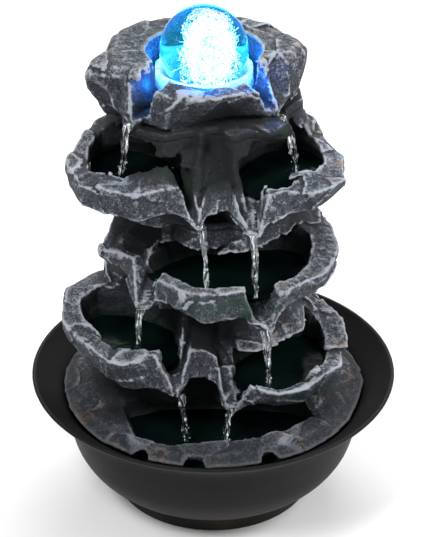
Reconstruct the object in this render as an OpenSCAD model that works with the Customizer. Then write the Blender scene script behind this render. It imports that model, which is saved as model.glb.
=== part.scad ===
// Tabletop water fountain: cast rock tower with five water levels, a lit crystal ball
// in its crown and a small submersible pump under it, all standing in a wide bowl.
// Millimetres, +Z up. Origin: centre of the bowl's foot, on the surface it stands on.
// The front, where the water falls, faces -Y.

/* [Bowl] */
// Radius of the bowl's rim
rim_r = 105; // [105:1:112]
// Height of the bowl's rim above the table
rim_z = 76; // [75:0.5:78]
// Radius of the bowl's foot ring
foot_r = 57.5; // [56.5:0.5:58.5]
// Thickness of the bowl's wall
bowl_wall = 2.5; // [2:0.1:2.6]

/* [Crystal ball] */
// Radius of the crystal ball
ball_r = 24.4; // [23:0.1:24.6]
// Height of the ball's centre above the table
ball_z = 265.6; // [265.4:0.1:268]

/* [Rock] */
// Radius of the round rock base that sits inside the bowl's rim
base_r = 87.5; // [84:0.5:88]
// Share of a ledge's reach that the column under it keeps, at the front
core_share = 0.66; // [0.55:0.01:0.7]

/* [Pump] */
// Width of the pump's motor housing
pump_w = 42; // [42:1:44]
// Radius of the rotor magnet
magnet_r = 6.2; // [5.5:0.1:6.4]
// Travel of the flow slider
slider_travel = 8; // [4:1:9]

/* [Hidden] */
$fn = 64;

// Where the castings meet, from the table up.
floor_z = 12.5;     // inner floor of the bowl
base_top_z = 70;    // rock base to lower tier
lower_top_z = 128;  // lower tier to middle tier
middle_top_z = 182; // middle tier to upper tier
upper_top_z = 232;  // upper tier to crown

// The ball's axis, which the cup and the lamp share.
ball_x = -5;
ball_y = 25;

// Centre that each ledge leans out from.
core = [-5, 15];

// Colours.
rock_grey = [0.27, 0.29, 0.33];
bowl_black = [0.10, 0.10, 0.10];
part_black = [0.08, 0.08, 0.09];
rubber_black = [0.05, 0.05, 0.05];
clear_plastic = [0.85, 0.92, 0.97, 0.4];
crystal = [0.45, 0.80, 0.95, 0.35];

// ---------- rock outlines ----------
// Each ledge is two outlines of [x, y, z] with equal counts, anticlockwise from its left end:
// the edge is the upper outer corner, and the brow is the lower outer corner.

crown_edge = [
    [-70, 2, 261], [-58, -2, 262], [-48, -4, 262], [-44, -15, 243], [-35, -14, 256],
    [-21, -24, 256], [-11, -22, 257], [2, -20, 256], [11, -15, 257], [24, -8, 256],
    [35, -3, 243], [30, 11, 262], [47, 20, 262], [53, 34, 262], [48, 42, 264],
    [34, 60, 264], [13, 71, 265], [-10, 70, 264], [-28, 72, 264], [-42, 67, 264],
    [-53, 55, 264], [-58, 40, 263], [-59, 28, 262], [-68, 14, 262]
];
crown_brow = [
    [-69, 4, 251], [-60, 3, 245], [-51, 0, 240], [-44, -14, 236], [-37, -11, 237],
    [-26, -18, 236], [-14, -14, 236], [-2, -8, 238], [11, -6, 240], [24, -5, 240],
    [35, -1, 237], [39, 5, 240], [48, 18, 245], [51, 34, 250], [45, 42, 250],
    [32, 57, 250], [12, 67, 248], [-10, 66, 246], [-27, 68, 248], [-40, 63, 250],
    [-50, 53, 250], [-56, 40, 250], [-58, 30, 250], [-67, 15, 250]
];
upper_edge = [
    [-80, -8, 216], [-79, -16, 215], [-72, -34, 214], [-63, -38, 214], [-55, -44, 214],
    [-41, -50, 214], [-32, -45, 214], [-23, -40, 214], [-14, -38, 213], [-8, -46, 199],
    [-3, -33, 211], [9, -32, 212], [18, -48, 195], [25, -50, 195], [30, -43, 211],
    [38, -39, 212], [54, -43, 212], [64, -36, 212], [73, -23, 211], [72, 4, 213],
    [62, 18, 216], [60, 26, 220], [52, 40, 221], [30, 58, 222], [-5, 64, 222],
    [-38, 60, 222], [-56, 46, 221], [-66, 30, 220], [-72, 14, 219]
];
upper_brow = [
    [-81, -9, 211], [-79, -20, 204], [-71, -34, 200], [-62, -40, 200], [-54, -45, 199],
    [-41, -49, 197], [-32, -46, 198], [-22, -43, 199], [-14, -43, 196], [-8, -46, 192],
    [-3, -40, 197], [9, -38, 198], [18, -48, 188], [25, -50, 188], [31, -47, 196],
    [41, -42, 199], [54, -38, 199], [62, -31, 200], [72, -21, 204], [71, 4, 203],
    [62, 18, 203], [58, 26, 204], [50, 38, 204], [28, 54, 203], [-5, 60, 202],
    [-36, 56, 203], [-53, 43, 204], [-63, 28, 204], [-72, 12, 206]
];
middle_edge = [
    [-63, -6, 161], [-64, -11, 159], [-53, -14, 160], [-44, -22, 160], [-43, -44, 147],
    [-36, -46, 146], [-31, -43, 159], [-23, -51, 160], [-17, -58, 160], [-7, -60, 160],
    [8, -60, 160], [18, -56, 160], [24, -60, 141], [32, -60, 141], [36, -55, 158],
    [42, -55, 160], [51, -46, 160], [63, -35, 159], [68, -22, 160], [71, -9, 162],
    [68, 8, 166], [60, 26, 168], [44, 46, 169], [12, 58, 170], [-24, 58, 170],
    [-46, 44, 168], [-56, 24, 166], [-59, 5, 164]
];
middle_brow = [
    [-64, -6, 156], [-63, -9, 154], [-56, -10, 150], [-49, -18, 147], [-43, -43, 140],
    [-36, -45, 139], [-29, -46, 147], [-21, -55, 147], [-13, -59, 145], [-5, -64, 142],
    [7, -61, 143], [17, -58, 143], [24, -59, 133], [32, -59, 133], [38, -57, 145],
    [42, -52, 148], [52, -43, 148], [62, -31, 148], [66, -22, 150], [69, -9, 152],
    [65, 8, 152], [57, 24, 152], [42, 43, 151], [11, 54, 150], [-23, 54, 150],
    [-43, 41, 151], [-53, 22, 152], [-58, 5, 154]
];
lower_edge = [
    [-87, 6, 123], [-86, -20, 120], [-82, -28, 119], [-72, -42, 118], [-67, -49, 117],
    [-58, -60, 117], [-50, -63, 117], [-43, -62, 118], [-32, -57, 118], [-20, -57, 98],
    [-13, -44, 114], [-4, -41, 112], [3, -42, 108], [7, -55, 88], [13, -56, 88],
    [21, -63, 102], [36, -66, 99], [52, -58, 98], [66, -42, 99], [74, -34, 99],
    [76, -12, 102], [75, 4, 106], [66, 14, 109], [60, 28, 112], [44, 50, 114],
    [10, 62, 116], [-30, 62, 117], [-56, 46, 119], [-72, 28, 121], [-84, 15, 122]
];
lower_brow = [
    [-87, 0, 118], [-85, -18, 112], [-81, -26, 108], [-72, -37, 104], [-62, -47, 101],
    [-50, -56, 97], [-43, -58, 97], [-37, -58, 98], [-29, -57, 96], [-19, -56, 90],
    [-13, -48, 98], [-4, -45, 96], [2, -46, 93], [7, -54, 80], [13, -55, 80],
    [20, -59, 88], [36, -60, 88], [52, -50, 85], [63, -38, 84], [72, -28, 87],
    [74, -12, 90], [73, 3, 92], [65, 13, 93], [57, 26, 94], [42, 46, 94],
    [9, 58, 94], [-28, 58, 94], [-53, 43, 96], [-69, 24, 104], [-84, 10, 112]
];

// Water basins, anticlockwise [x, y] outlines of their mouths.
upper_left_basin = [
    [-67, -20], [-54, -27], [-45, -31], [-34, -30], [-25, -26], [-19, -27], [-18, -14],
    [-21, 0], [-28, 8], [-38, 15], [-50, 20], [-62, 14], [-68, 2]
];
upper_right_basin = [
    [14, -25], [22, -35], [31, -34], [39, -33], [42, -29], [50, -24], [56, -17], [60, -5],
    [59, 8], [54, 16], [43, 22], [30, 16], [20, 4], [14, -10]
];
middle_basin = [
    [-34, -30], [-25, -37], [-17, -45], [-9, -52], [4, -53], [16, -52], [26, -51],
    [34, -47], [44, -39], [52, -27], [54, -12], [52, -2], [40, 4], [10, 0], [-14, -6],
    [-28, -16], [-36, -22]
];
lower_left_basin = [
    [-72, -20], [-64, -31], [-55, -44], [-45, -50], [-36, -51], [-28, -49], [-21, -43],
    [-18, -30], [-22, -12], [-36, 0], [-50, 6], [-66, 7], [-75, -2], [-74, -10]
];
lower_right_basin = [
    [12, -44], [16, -52], [25, -59], [38, -59], [51, -49], [62, -32], [64, -12], [60, -1],
    [52, 4], [40, 2], [28, -8], [17, -20], [12, -32]
];
base_pool = [
    [-50, -34], [-47, -47], [-43, -62], [-32, -68], [-21, -69], [4, -67], [24, -63],
    [40, -57], [56, -42], [50, -30], [30, -26], [0, -24], [-30, -25]
];

// ---------- shape tools ----------

function centre(outline) = [for (k = [0:1]) [for (p = outline) p[k]] * [for (p = outline) 1] / len(outline)];

// Point p drawn in to the core, and set at height z. The back of the tower stays almost upright.
function drawn_in(p, share, z) =
    let (back = min(1, max(0, (p[1] - 5) / 30)), s = share + back * max(0, 0.94 - share))
    [core[0] + s * (p[0] - core[0]), core[1] + s * (p[1] - core[1]), z];
function ring(outline, share, z) = [for (p = outline) drawn_in(p, share, z)];
function shrunk(outline, share, z) =
    let (c = centre(outline))
    [for (p = outline) [c[0] + share * (p[0] - c[0]), c[1] + share * (p[1] - c[1]), z]];

// Closed solid through rings of equal counts, anticlockwise seen from above, lowest first.
// Every ring can be seen whole from the point c inside it.
module loft(rings, c) {
    n = len(rings[0]);
    m = len(rings);
    points = concat([for (r = rings) each r], [[c[0], c[1], rings[0][0][2]], [c[0], c[1], rings[m - 1][0][2]]]);
    sides = [for (j = [0:m - 2], i = [0:n - 1])
        let (a = j * n + i, b = j * n + (i + 1) % n)
        each [[a, a + n, b + n], [a, b + n, b]]];
    bottom = [for (i = [0:n - 1]) [n * m, i, (i + 1) % n]];
    top = [for (i = [0:n - 1]) [n * m + 1, n * (m - 1) + (i + 1) % n, n * (m - 1) + i]];
    polyhedron(points, concat(sides, bottom, top));
}

// Rock ledge on its column: column, brow, edge, then the column of the next level.
module ledge(edge, brow, z0, z1, neck_z, shoulder_z) {
    loft([
        ring(brow, core_share, z0),
        ring(brow, core_share + 0.04, neck_z),
        brow,
        edge,
        [for (p = edge) drawn_in(p, 0.84, p[2] + 1)],
        [for (p = edge) drawn_in(p, core_share - 0.04, max(shoulder_z, p[2] + 2))],
        ring(edge, core_share - 0.08, z1)
    ], core);
}

// Basin whose walls lean in towards its floor.
module basin(outline, floor_at, rim_at) {
    loft([
        shrunk(outline, 0.78, floor_at),
        shrunk(outline, 0.93, floor_at + 5),
        shrunk(outline, 1, rim_at - 2),
        shrunk(outline, 1.04, rim_at + 12)
    ], centre(outline));
}

// V-shaped spout from a basin at p0 down to a lip at p1. Each point is on the channel's floor.
module spout(p0, p1, floor_w, top_w, depth) {
    d = [p1[0] - p0[0], p1[1] - p0[1]];
    side = [-d[1], d[0]] / norm(d);
    function section(p) = [
        [p[0] + side[0] * floor_w / 2, p[1] + side[1] * floor_w / 2, p[2]],
        [p[0] - side[0] * floor_w / 2, p[1] - side[1] * floor_w / 2, p[2]],
        [p[0] - side[0] * top_w / 2, p[1] - side[1] * top_w / 2, p[2] + depth],
        [p[0] + side[0] * top_w / 2, p[1] + side[1] * top_w / 2, p[2] + depth]
    ];
    polyhedron(
        concat(section(p0), section(p1)),
        [[3, 2, 1, 0], [4, 5, 6, 7], [0, 1, 5, 4], [1, 2, 6, 5], [2, 3, 7, 6], [3, 0, 4, 7]]
    );
}

// Shaft through the tower for the riser tube and the lamp's lead.
module shaft(z0, z1) {
    translate([-22, 12, z0]) cube([36, 38, z1 - z0]);
}

// Tube swept along points, with flat rings that stay square to the path.
function unit(v) = v / norm(v);
function tangent(path, i) = unit(path[min(i + 1, len(path) - 1)] - path[max(i - 1, 0)]);
module sweep(path, r, sides) {
    rings = [for (i = [0:len(path) - 1])
        let (t = tangent(path, i), u = unit(cross([1, 0, 0], t)), v = cross(t, u))
        [for (k = [0:sides - 1]) path[i] + r * (cos(k * 360 / sides) * u + sin(k * 360 / sides) * v)]];
    n = sides;
    m = len(rings);
    points = concat([for (q = rings) each q], [path[0], path[m - 1]]);
    walls = [for (j = [0:m - 2], i = [0:n - 1])
        let (a = j * n + i, b = j * n + (i + 1) % n)
        each [[a, a + n, b + n], [a, b + n, b]]];
    ends = concat(
        [for (i = [0:n - 1]) [n * m, i, (i + 1) % n]],
        [for (i = [0:n - 1]) [n * m + 1, n * (m - 1) + (i + 1) % n, n * (m - 1) + i]]
    );
    polyhedron(points, concat(walls, ends));
}

// ---------- bowl ----------

module bowl() {
    rim_drop = rim_z - 76;
    outer = [
        [foot_r, 0], [foot_r - 1, 8.5], [foot_r + 1, 9.5], [67, 14.5], [75, 22], [81, 32],
        [84.5, 45], [86.8, 57], [89, 61.5 + rim_drop], [97, 68 + rim_drop],
        [rim_r - 1, 73.6 + rim_drop], [rim_r, 75 + rim_drop], [rim_r - 0.4, rim_z],
        [rim_r - 2, rim_z]
    ];
    inner = [
        [95.5, 70 + rim_drop], [87.4, 63.3 + rim_drop], [86.8 - bowl_wall, 57.8],
        [84.5 - bowl_wall, 45.6], [81 - bowl_wall, 33.2], [73.2, 24], [65.5, 17],
        [foot_r - 1.5, floor_z], [0, floor_z], [0, floor_z - 3], [foot_r - 3.6, floor_z - 3],
        [foot_r - 3, 0]
    ];
    color(bowl_black) rotate_extrude() polygon(concat(outer, inner));
}

// ---------- rock tower ----------

base_steps = 40;
function base_ring(r, z, rough) = [for (i = [0:base_steps - 1])
    let (a = i * 360 / base_steps, w = rough * (sin(5 * a) + 0.7 * sin(11 * a + 40)))
    [(r + w) * cos(a), (r + w) * sin(a), z + 0.6 * w]];

module drain_notch(angle, r) {
    rotate([0, 0, angle]) translate([base_r - 12, 0, 58]) rotate([0, 90, 0]) cylinder(h = 20, r = r);
}

module base_rock() {
    color(rock_grey) difference() {
        loft([
            base_ring(54, floor_z, 0),
            base_ring(57, 24, 0),
            base_ring(72, 46, 0.3),
            base_ring(base_r - 7.5, 58, 0.3),
            base_ring(base_r - 3, 62.5, 0.4),
            base_ring(base_r, 65, 0.6),
            base_ring(base_r - 8, 68.5, 0.8),
            base_ring(60, base_top_z, 0)
        ], [0, 0]);
        translate([-34, -16, floor_z - 1]) cube([66, 66, 63 - floor_z]);
        translate([-22, 0, 40]) cube([36, 50, base_top_z - 39]);
        basin(base_pool, 56.5, 66);
        for (notch = [[-118, 6], [-97, 7], [-68, 6.5], [92, 7]]) drain_notch(notch[0], notch[1]);
        for (x = [-42, -10, 22]) translate([x, -60, floor_z - 1]) cube([10, 50, 7]);
        translate([-12, 40, floor_z - 1]) cube([14, 20, 13]);
    }
}

access = [-30, 82, 48, 36]; // rear opening: left, bottom, width, height

module lower_tier() {
    color(rock_grey) difference() {
        ledge(lower_edge, lower_brow, base_top_z, lower_top_z, 86, 123);
        basin(lower_left_basin, 97, 116);
        basin(lower_right_basin, 84, 100);
        spout([-25, -36, 105], [-18, -60, 93], 4, 18, 16);
        spout([16, -38, 94], [9, -60, 81], 5, 18, 17);
        translate([-34, 12, base_top_z - 1]) cube([58, 38, lower_top_z - base_top_z - 7]);
        shaft(100, lower_top_z + 1);
        translate([access[0], 45, access[1]]) cube([access[2], 30, access[3]]);
    }
}

module middle_tier() {
    color(rock_grey) difference() {
        ledge(middle_edge, middle_brow, lower_top_z, middle_top_z, 140, 172);
        basin(middle_basin, 146, 158);
        spout([-34, -24, 152], [-40, -50, 141], 4, 13, 15);
        spout([25, -42, 151], [28.5, -64, 135], 5, 18, 18);
        shaft(lower_top_z - 1, middle_top_z + 1);
    }
}

module upper_tier() {
    color(rock_grey) difference() {
        ledge(upper_edge, upper_brow, middle_top_z, upper_top_z, 194, 226);
        basin(upper_left_basin, 199, 212);
        basin(upper_right_basin, 199, 211);
        spout([-20, -20, 205], [-7, -50, 193], 3, 11, 16);
        spout([20, -26, 205], [22, -54, 188], 5, 18, 18);
        shaft(middle_top_z - 1, upper_top_z + 1);
    }
}

crown_top_z = 266; // highest part of the crown's flat rock
cup_r = 27;      // outside of the ball's cup
cup_floor = 238; // underside of the cup
moat_r = 32;     // hollow in the crown around the cup

crown_core = [-6, 28];
function crown_ring(outline, share, z) = [for (p = outline)
    [crown_core[0] + share * (p[0] - crown_core[0]), crown_core[1] + share * (p[1] - crown_core[1]), z]];

module crown_rock() {
    color(rock_grey) difference() {
        loft([
            crown_ring(crown_brow, 0.78, upper_top_z),
            crown_ring(crown_brow, 0.86, 235),
            crown_brow,
            crown_edge,
            crown_ring(crown_edge, 0.9, crown_top_z)
        ], crown_core);
        // Hollow around the cup, open at both sides and closed by the flat rock in front.
        translate([0, 0, 247]) linear_extrude(30) difference() {
            translate([ball_x, ball_y]) circle(moat_r);
            polygon([[-22, -30], [14, -30], [6, 12], [-16, 12]]);
        }
        translate([ball_x, ball_y, 254.6]) cylinder(h = 20, r = moat_r);
        // The flat rock in front keeps low, so that the cup's rim shows over it.
        translate([ball_x, 0, 257.4]) rotate([0, 4.5, 0]) translate([-34, -40, 0]) cube([66, 38, 20]);
        translate([ball_x, ball_y, cup_floor]) cylinder(h = 40, r = cup_r + 0.1);
        translate([ball_x, ball_y, upper_top_z - 1]) cylinder(h = 8, r = 15.2);
        spout([-26, 6, 247], [-46, -22, 238], 5, 15, 20);
        spout([18, 8, 247], [38, -10, 239], 5, 15, 20);
        shaft(upper_top_z - 1, cup_floor + 1);
    }
}

module rear_cover() {
    gap = 0.5;
    w = access[2] - 2 * gap;
    h = access[3] - 2 * gap;
    color(rock_grey) translate([access[0] + gap, 50.2, access[1] + gap]) {
        difference() {
            union() {
                cube([w, 6, h]);
                // Rough outer face with a ridge to grip.
                translate([0, 6, 0]) rotate([90, 0, 90]) linear_extrude(w)
                    polygon([[0, 0], [3, 5], [3.5, 14], [6.5, 19], [4, 26], [2.5, h - 3], [0, h]]);
            }
            // Finger hollow under the ridge.
            translate([w / 2 - 9, 7.5, 11]) cube([18, 10, 6]);
        }
    }
}

// ---------- ball, cup and lamp ----------

module crystal_ball() {
    color(crystal) translate([ball_x, ball_y, ball_z]) sphere(r = ball_r, $fn = 96);
}

lens_r = 9;
rib_r = 14;      // circle that the cup's three rests stand on
inlet_y = 18;    // water inlet, behind the cup's middle
barb_r = 3.4;
screw_angles = [30, 150, 270];
screw_r = 12.6;  // circle that the lamp's screws stand on

module ball_cup() {
    color(clear_plastic) translate([ball_x, ball_y, 0]) difference() {
        union() {
            rotate_extrude() polygon([
                [lens_r, cup_floor], [cup_r, cup_floor], [cup_r, 255], [cup_r - 0.6, 255.6],
                [cup_r - 1.4, 255.6], [cup_r - 2, 255], [cup_r - 2, cup_floor + 2.5],
                [lens_r, cup_floor + 2.5]
            ]);
            for (a = [90, 210, 330]) rotate([0, 0, a]) translate([rib_r, 0, cup_floor + 2])
                cylinder(h = ball_z - 21.2 - cup_floor - 2, r = 1.5);
            translate([0, inlet_y, 224]) cylinder(h = cup_floor - 224 + 1, r = barb_r);
        }
        translate([0, inlet_y, 220]) cylinder(h = 30, r = barb_r - 1);
        for (a = screw_angles) rotate([0, 0, a]) translate([screw_r, 0, cup_floor - 1])
            cylinder(h = 3, r = 0.9);
    }
}

module led_lens() {
    color(clear_plastic) translate([ball_x, ball_y, 0]) {
        translate([0, 0, 235.6]) cylinder(h = 1.4, r = 10.2);
        translate([0, 0, 236.9]) cylinder(h = 3, r = lens_r - 0.15);
    }
}

module led_gasket() {
    color(rubber_black) translate([ball_x, ball_y, 237.5]) rotate_extrude()
        translate([9.6, 0]) circle(r = 0.5, $fn = 24);
}

module led_housing() {
    color(part_black) translate([ball_x, ball_y, 0]) difference() {
        union() {
            translate([0, 0, 222]) cylinder(h = 15, r = 10.8);
            translate([0, 0, 233.5]) rotate_extrude() polygon([[10, 0], [14.6, 0], [14.6, 4.5], [10, 4.5]]);
            translate([0, 0, 217]) cylinder(h = 5.5, r = 3.4);
        }
        translate([0, 0, 235.5]) cylinder(h = 4, r = 10.3);
        translate([0, 0, 224.5]) cylinder(h = 6, r = 8.2);
        translate([0, 0, 230]) cylinder(h = 6, r = 9.4);
        translate([0, 0, 216]) cylinder(h = 10, r = 1.8);
        translate([0, inlet_y, 230]) cylinder(h = 10, r = 5.3);
        for (a = screw_angles) rotate([0, 0, a]) translate([screw_r, 0, 230])
            cylinder(h = 10, r = 0.9);
    }
}

module led_board() {
    color([0.1, 0.35, 0.15]) translate([ball_x, ball_y, 230]) cylinder(h = 1.6, r = 9.3);
}

module led_chips() {
    color([0.95, 0.9, 0.6]) for (a = [45:90:315])
        translate([ball_x, ball_y, 231.6]) rotate([0, 0, a]) translate([4.6, 0, 0]) {
            translate([-1.75, -1.75, 0]) cube([3.5, 3.5, 1.2]);
            translate([0, 0, 1.1]) cylinder(h = 0.8, r = 1.4);
        }
}

module led_screws() {
    color([0.7, 0.7, 0.72]) for (a = screw_angles)
        translate([ball_x, ball_y, 0]) rotate([0, 0, a]) translate([screw_r, 0, 0]) {
            translate([0, 0, 232.2]) cylinder(h = 1.3, r = 1.7);
            translate([0, 0, 233]) cylinder(h = 6.4, r = 0.85);
        }
}

// Lamp lead, from the lamp down the shaft to its plug on the pump.
lead_r = 1.6;
lead_path = [
    [-5, 25, 222], [-5, 25, 216], [-6, 25, 209], [-9, 24, 200], [-12, 24, 188],
    [-14, 25, 170], [-15, 26, 150], [-15, 26, 130], [-15, 25, 110], [-15, 23, 94],
    [-15.5, 20.5, 82], [-16.5, 17.5, 73], [-17.5, 13.5, 67.5], [-18.5, 9, 63.5], [-19, 7, 60], [-19, 7, 58]
];
module led_lead() {
    color(rubber_black) sweep(lead_path, lead_r, 8);
}

plug_at = [-19, 7];
pump_floor = 17;
housing_h = 35;
module led_plug() {
    color(part_black) translate([plug_at[0], plug_at[1], pump_floor + housing_h]) {
        difference() {
            translate([-3.5, -2.5, -5]) cube([7, 5, 6]);
            translate([-2.5, -1.5, -6]) cube([2, 3, 4]);
            translate([0.5, -1.5, -6]) cube([2, 3, 4]);
        }
        difference() {
            translate([-4.5, -3.5, 0.3]) cube([9, 7, 6]);
            translate([0, 0, 5.5]) cylinder(h = 2, r = lead_r + 0.1);
        }
    }
}

// Riser tube, from the pump's nozzle to the barb under the cup.
nozzle_at = [1, 23.5];
tube_path = [
    [1, 23.5, 51], [1, 23.5, 60], [1, 24, 70], [0.6, 25, 84], [-0.4, 28, 104], [-1.6, 32, 126],
    [-2.8, 36, 148], [-3.8, 39.4, 170], [-4.5, 41.8, 190], [-4.9, 42.9, 206], [-5, 43, 220],
    [-5, 43, 234]
];
module riser_tube() {
    color([0.75, 0.8, 0.82, 0.6]) difference() {
        sweep(tube_path, 5.1, 12);
        sweep(concat([[1, 23.5, 50]], tube_path, [[-5, 43, 235]]), 4.4, 12);
    }
}

// ---------- pump ----------

pump_x = -5;
pump_back = -8;          // y of the motor housing's closed end
motor_l = 26;
volute_l = 10;
front_y = pump_back + motor_l + volute_l;
rotor_z = 30;
well_r = magnet_r + 0.8;

gland_z = 34;

module along_y(y, z, h, r) {
    translate([pump_x, y, z]) rotate([-90, 0, 0]) cylinder(h = h, r = r);
}

// Block with its four long edges cut off, running along Y.
module block(w, h, l, cut) {
    rotate([90, 0, 180]) linear_extrude(l) polygon([
        [-w / 2 + cut, 0], [w / 2 - cut, 0], [w / 2, cut], [w / 2, h - cut], [w / 2 - cut, h],
        [-w / 2 + cut, h], [-w / 2, h - cut], [-w / 2, cut]
    ]);
}

module stator_core() {
    translate([pump_x, 0, 0]) {
        for (side = [-1, 1]) translate([side * 13.5 - 4, 0, 19.5]) cube([8, 12, 22]);
        translate([-17.5, 0, 39.5]) cube([35, 12, 6]);
    }
}

module coil_block() {
    translate([pump_x - 7.5, -2, 38.5]) cube([15, 16, 11]);
}

module pump_stator() {
    color([0.55, 0.55, 0.58]) stator_core();
}

module pump_coil() {
    color([0.72, 0.40, 0.18]) difference() {
        coil_block();
        translate([pump_x - 10, 0, 39.5]) cube([20, 12, 6]);
    }
}

module pump_housing() {
    color(part_black) difference() {
        translate([pump_x, pump_back, pump_floor]) block(pump_w, housing_h, motor_l, 3);
        along_y(-2, rotor_z, 30, well_r);
        along_y(-5, rotor_z, 5, 2.2);
        stator_core();
        coil_block();
        translate([plug_at[0] - 3.8, plug_at[1] - 2.8, 46.8]) cube([7.6, 5.6, 10]);
        translate([pump_x + pump_w / 2 - 3, 6, gland_z]) rotate([0, 90, 0]) cylinder(h = 10, r = 2.6);
        for (x = [-13, 13], y = [0, 14]) translate([pump_x + x, y, pump_floor - 1]) cylinder(h = 2.6, r = 1.6);
    }
}

module pump_volute() {
    color(part_black) difference() {
        union() {
            translate([pump_x, pump_back + motor_l, pump_floor]) block(38, 26, volute_l, 3);
            translate([nozzle_at[0], nozzle_at[1], 40]) cylinder(h = 20, r = 4);
        }
        along_y(pump_back + motor_l + 1.5, rotor_z, volute_l, 11.5);
        along_y(pump_back + motor_l - 1, rotor_z, 4, well_r);
        translate([nozzle_at[0], nozzle_at[1], 36]) cylinder(h = 30, r = 2.6);
    }
}

cover_l = 9;
slider_z = pump_floor + 15;

module slider_rail(side) {
    z = side < 0 ? slider_z - 1.3 : slider_z + 8.2;
    rail_l = 14 + slider_travel;
    translate([pump_x - 3 - slider_travel, front_y + cover_l - 0.1, z]) cube([rail_l, 3, 1.1]);
    translate([pump_x - 3 - slider_travel, front_y + cover_l + 2, side < 0 ? z : z - 0.7])
        cube([rail_l, 0.9, 1.8]);
}

module pump_front_cover() {
    color(part_black) slider_rail(-1);
    color(part_black) slider_rail(1);
    color(part_black) difference() {
        translate([pump_x, front_y, pump_floor]) block(38, 26, cover_l, 3);
        // Inlet chamber behind the strainer's face.
        translate([pump_x - 16, front_y + 2.5, pump_floor + 3]) cube([32, cover_l - 4.5, 20]);
        along_y(front_y - 1, rotor_z, 2.5, 2.2);
        for (a = [0:60:300]) translate([6.5 * cos(a), 0, 6.5 * sin(a)])
            along_y(front_y - 1, rotor_z, 5, 2);
        for (x = [-14:4:14]) translate([pump_x + x - 1, front_y + cover_l - 3, pump_floor + 4])
            cube([2, 5, 8.5]);
        translate([pump_x - 1 - slider_travel, front_y + cover_l - 3, slider_z + 1.2])
            cube([slider_travel, 5, 5.6]);
    }
}

// Slide that covers the inlet window in the front cover.
module flow_slider() {
    y = front_y + cover_l + 0.2;
    color([0.2, 0.2, 0.22]) {
        translate([pump_x, y, slider_z]) cube([10, 1.6, 8]);
        translate([pump_x + 3.5, y + 1.5, slider_z + 2]) cube([3, 3, 4]);
    }
}

rotor_bore = 1.06;
module pump_impeller() {
    y = pump_back + motor_l + 2.2;
    color([0.85, 0.85, 0.82]) difference() {
        union() {
            along_y(y, rotor_z, 1.2, 10.4);
            along_y(y, rotor_z, 6.8, 3.2);
            for (a = [0:60:300]) translate([pump_x, y + 1, rotor_z]) rotate([0, a, 0])
                translate([2.5, 0, -0.6]) cube([7.9, 5.2, 1.2]);
        }
        along_y(y - 1, rotor_z, 10, rotor_bore);
    }
}

module pump_magnet() {
    color([0.25, 0.25, 0.27]) difference() {
        union() {
            along_y(-1, rotor_z, pump_back + motor_l + 1, magnet_r);
            along_y(pump_back + motor_l - 0.1, rotor_z, 2.3, 3.2);
        }
        along_y(-2, rotor_z, 30, rotor_bore);
    }
}

module pump_shaft() {
    color([0.92, 0.92, 0.9]) along_y(-4.8, rotor_z, 33.8, 1);
}

module rear_bush() {
    color(rubber_black) difference() {
        along_y(-5, rotor_z, 2.9, 2.15);
        along_y(-4.8, rotor_z, 4, 1.02);
    }
}

// The front bush stays in the front cover when that is pulled off.
module front_bush() {
    color(rubber_black) difference() {
        along_y(front_y - 0.7, rotor_z, 2.1, 2.15);
        along_y(front_y - 1, rotor_z, 2.1, 1.04);
    }
}

module suction_cups() {
    color(rubber_black) for (x = [-13, 13], y = [0, 14])
        translate([pump_x + x, y, 0]) rotate_extrude() polygon([
            [0, 14], [3, 13.4], [5.5, floor_z], [6.2, floor_z], [6, 13.3], [3.6, 15.4],
            [2.4, 17], [1.5, 17], [1.5, 18.5], [0, 18.5]
        ]);
}

module cord_gland() {
    color(rubber_black) translate([pump_x + pump_w / 2 - 2.9, 6, gland_z]) rotate([0, 90, 0]) difference() {
        union() {
            cylinder(h = 3, r = 2.5);
            translate([0, 0, 2.9]) cylinder(h = 2, r = 4);
            translate([0, 0, 4.8]) cylinder(h = 6, r1 = 3.4, r2 = 2.6);
        }
        translate([0, 0, -1]) cylinder(h = 20, r = 1.9);
    }
}

bowl();
base_rock();
lower_tier();
middle_tier();
upper_tier();
crown_rock();
rear_cover();
crystal_ball();
ball_cup();
led_lens();
led_gasket();
led_housing();
led_board();
led_chips();
led_screws();
led_lead();
led_plug();
riser_tube();
pump_housing();
pump_stator();
pump_coil();
pump_volute();
pump_front_cover();
pump_impeller();
pump_magnet();
pump_shaft();
rear_bush();
front_bush();
flow_slider();
suction_cups();
cord_gland();
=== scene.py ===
"""The tabletop fountain: bowl, cast rock tower, falling water and a lit crystal ball."""

import math

import bpy
import numpy as np
import openvdb
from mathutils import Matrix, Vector


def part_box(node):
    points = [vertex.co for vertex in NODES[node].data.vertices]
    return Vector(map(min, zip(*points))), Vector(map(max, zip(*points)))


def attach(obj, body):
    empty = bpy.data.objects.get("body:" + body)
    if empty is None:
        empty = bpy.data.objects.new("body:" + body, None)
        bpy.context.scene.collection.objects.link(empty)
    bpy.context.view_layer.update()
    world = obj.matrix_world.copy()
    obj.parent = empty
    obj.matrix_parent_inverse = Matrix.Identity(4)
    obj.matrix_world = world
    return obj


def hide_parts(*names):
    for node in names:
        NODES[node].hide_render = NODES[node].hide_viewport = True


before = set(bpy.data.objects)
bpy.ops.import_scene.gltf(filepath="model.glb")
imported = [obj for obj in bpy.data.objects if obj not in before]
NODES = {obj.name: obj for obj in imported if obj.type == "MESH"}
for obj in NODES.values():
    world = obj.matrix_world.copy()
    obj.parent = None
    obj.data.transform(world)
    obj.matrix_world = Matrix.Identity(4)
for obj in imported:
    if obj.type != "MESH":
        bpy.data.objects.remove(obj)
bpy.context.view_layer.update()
MM = 0.001
VOXEL = 0.85  # rock grid spacing, mm


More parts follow.
